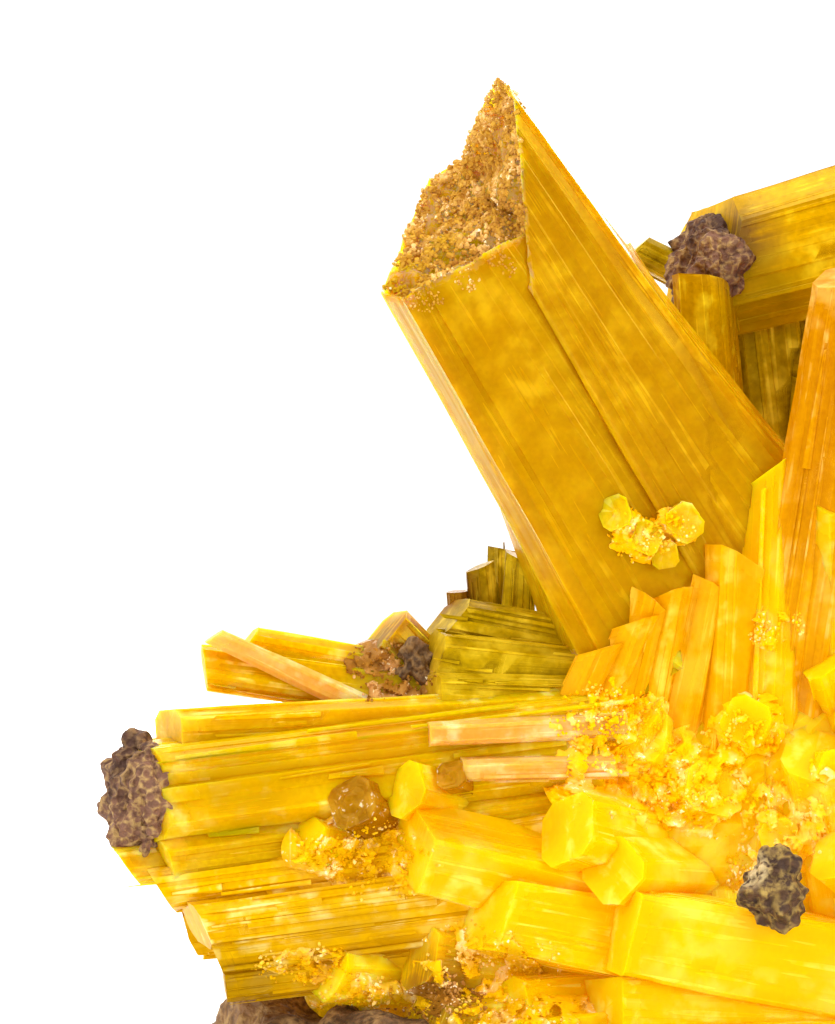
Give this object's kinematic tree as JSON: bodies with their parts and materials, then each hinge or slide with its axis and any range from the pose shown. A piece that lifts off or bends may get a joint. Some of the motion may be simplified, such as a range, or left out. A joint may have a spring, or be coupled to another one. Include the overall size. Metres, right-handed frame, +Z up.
{
  "type": "legrandite specimen",
  "caption": "Spray of striated yellow legrandite prisms radiating from a block of brown limonite, with brown crusts on some of the crystal ends.",
  "frame": {"origin": "on the flat base of the limonite block, under the middle of the specimen's box", "axes": "+X to the right across the front of the spray, +Y away from the front, +Z up"},
  "size_m": [0.053, 0.0254, 0.0483],
  "materials": {
    "legrandite": "gloss",
    "limonite": "matte",
    "limonite_crust": "matte"
  },
  "bodies": {
    "root": {"legrandite_spray": "legrandite", "limonite_matrix": "limonite", "limonite_crust_left_sheaf": "limonite_crust", "limonite_crust_crossing_prism": "limonite_crust", "limonite_crust_front": "limonite_crust", "limonite_crust_blade_fan": "limonite_crust", "limonite_crust_right_spray": "limonite_crust"}
  },
  "joints": []
}
